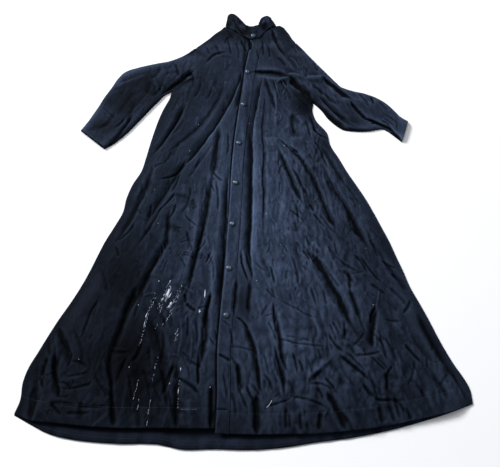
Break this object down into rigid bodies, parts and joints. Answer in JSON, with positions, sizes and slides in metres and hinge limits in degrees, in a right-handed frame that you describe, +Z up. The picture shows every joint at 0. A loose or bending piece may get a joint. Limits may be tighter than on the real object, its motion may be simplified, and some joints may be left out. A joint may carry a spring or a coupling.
{
  "type": "cassock",
  "caption": "Long dark cassock laid out flat on its back, with a stand collar, banded cuffs and a buttoned front placket.",
  "frame": {"origin": "on the surface that the cassock lies on, below the middle of its overall length and width", "axes": "+Y from hem to collar, +X towards the wearer's left side, +Z up off the surface, out of the garment's front"},
  "size_m": [1.316, 1.5333, 0.0258],
  "materials": {
    "cloth": "matte plain-woven cotton, blue-black",
    "button": "glossy, domed"
  },
  "bodies": {
    "root": {"back": "cloth", "front_right": "cloth", "front_left": "cloth", "placket": "cloth", "collar": "cloth", "sleeve_right": "cloth", "sleeve_left": "cloth", "cuff_right": "cloth", "cuff_left": "cloth", "button_1": "button", "button_2": "button", "button_3": "button", "button_4": "button", "button_5": "button", "button_6": "button", "button_7": "button", "button_8": "button"}
  },
  "joints": []
}
